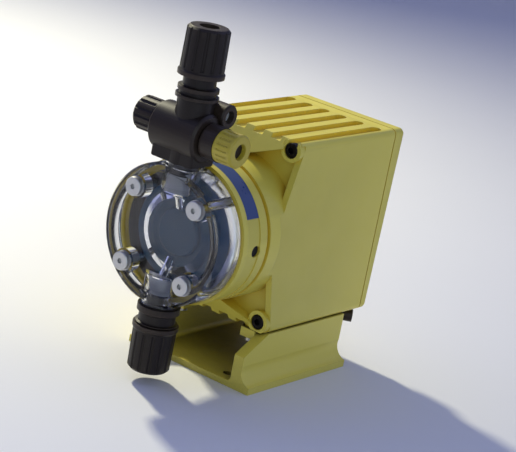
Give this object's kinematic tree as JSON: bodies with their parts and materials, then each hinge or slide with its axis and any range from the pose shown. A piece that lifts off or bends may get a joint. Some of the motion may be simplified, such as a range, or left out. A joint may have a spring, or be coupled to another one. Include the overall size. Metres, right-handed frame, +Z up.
{
  "type": "diaphragm metering pump",
  "caption": "Solenoid-driven diaphragm metering pump with a clear liquid end, a multi-function discharge valve, a finned housing and a channel foot.",
  "frame": {"origin": "centre of the foot's bolt pattern, on the floor plane", "axes": "+Z up, -Y towards the liquid end, +Y towards the rear controls, +X to the right-hand side seen from the liquid end"},
  "size_m": [0.0992, 0.2, 0.2257],
  "materials": {
    "housing_yellow": "satin moulded plastic",
    "knob_yellow": "satin moulded plastic",
    "black_plastic": "fine-grained black plastic",
    "clear_acrylic": "clear machined plastic",
    "blue_label": "bare printed film, no text",
    "grey_plastic": "light grey plastic",
    "white_plastic": "white plastic",
    "tan_gasket": "tan gasket sheet",
    "diaphragm_face": "dark blue-grey faced elastomer",
    "steel": "stainless steel",
    "black_steel": "black oxide",
    "magnet_steel": "bare soft steel",
    "bronze": "sintered bronze",
    "copper_wire": "enamelled copper wire",
    "black_rubber": "matt black rubber",
    "red_lens": "clear red lens",
    "circuit_board": "green board",
    "ceramic": "polished ceramic"
  },
  "bodies": {
    "pump": {"drive_housing": "housing_yellow", "rear_gasket": "tan_gasket", "rear_cover": "housing_yellow", "corner_screws": "black_steel", "base_foot": "housing_yellow", "foot_screws": "steel", "cord_gland": "black_plastic", "gland_nut": "black_plastic", "spool": "housing_yellow", "vent_plug": "black_rubber", "spool_screws": "steel", "label_band": "blue_label", "backing_ring": "black_plastic", "pump_head": "clear_acrylic", "head_screws": "steel", "head_washers": "steel", "diaphragm": "diaphragm_face", "shaft_seal": "black_rubber", "shaft_bushing": "bronze", "return_spring": "steel", "pole_frame": "magnet_steel", "pole_cap": "magnet_steel", "coil_bobbin": "grey_plastic", "coil_winding": "copper_wire", "speed_pot": "grey_plastic", "status_lens": "red_lens", "circuit_board": "circuit_board", "board_screws": "steel", "suction_valve_body": "black_plastic", "suction_seal_ring": "black_rubber", "suction_seat": "grey_plastic", "suction_ball_guide": "white_plastic", "suction_nozzle": "grey_plastic", "suction_clamp_ring": "grey_plastic", "suction_nut": "black_plastic", "discharge_seat": "grey_plastic", "discharge_ball_guide": "white_plastic", "discharge_seal_ring": "black_rubber", "four_way_body": "black_plastic", "discharge_nozzle": "grey_plastic", "discharge_clamp_ring": "grey_plastic", "discharge_nut": "black_plastic", "relief_poppet": "grey_plastic", "relief_spring": "steel", "siphon_poppet": "grey_plastic", "siphon_spring": "steel", "return_ferrule": "grey_plastic", "return_nut": "black_plastic"},
    "drive": {"diaphragm_plate": "steel", "drive_shaft": "steel", "armature": "magnet_steel"},
    "stroke_dial": {"stroke_knob": "black_plastic"},
    "stroke_limit": {"stroke_stop": "steel"},
    "speed_dial": {"speed_knob": "black_plastic", "speed_stem": "steel"},
    "relief_control": {"relief_knob": "black_plastic"},
    "siphon_control": {"siphon_knob": "knob_yellow", "siphon_stem": "black_plastic"},
    "suction_check": {"suction_ball": "ceramic"},
    "discharge_check": {"discharge_ball": "ceramic"}
  },
  "joints": [
    {"name": "drive_stroke", "type": "slide", "parent": "pump", "child": "drive", "axis": [0, -1, 0], "range_m": [0, 0.00125], "stiffness_N_per_m": 2500, "springref_m": -0.003, "deforming": ["diaphragm", "return_spring"]},
    {"name": "stroke_turn", "type": "hinge", "parent": "pump", "child": "stroke_dial", "pos_m": [0, 0.085, 0.0962], "axis": [0, 1, 0], "range_deg": [0, 270]},
    {"name": "stroke_limit_slide", "type": "slide", "parent": "pump", "child": "stroke_limit", "axis": [0, -1, 0], "range_m": [0, 0.00125]},
    {"name": "speed_turn", "type": "hinge", "parent": "pump", "child": "speed_dial", "pos_m": [0, 0.085, 0.1332], "axis": [0, 1, 0], "range_deg": [0, 300]},
    {"name": "relief_turn", "type": "hinge", "parent": "pump", "child": "relief_control", "pos_m": [-0.03, -0.0927, 0.1621], "axis": [-1, 0, 0], "range_deg": [0, 90]},
    {"name": "siphon_turn", "type": "hinge", "parent": "pump", "child": "siphon_control", "pos_m": [0.02, -0.0927, 0.1597], "axis": [1, 0, 0], "range_deg": [0, 90]},
    {"name": "suction_ball_lift", "type": "slide", "parent": "pump", "child": "suction_check", "axis": [0, 0, 1], "range_m": [0, 0.0014]},
    {"name": "discharge_ball_lift", "type": "slide", "parent": "pump", "child": "discharge_check", "axis": [0, 0, 1], "range_m": [0, 0.0014]}
  ],
  "couplings": [
    {"joint": "stroke_turn", "follows": "stroke_limit_slide", "rad_per_m": 3765}
  ]
}
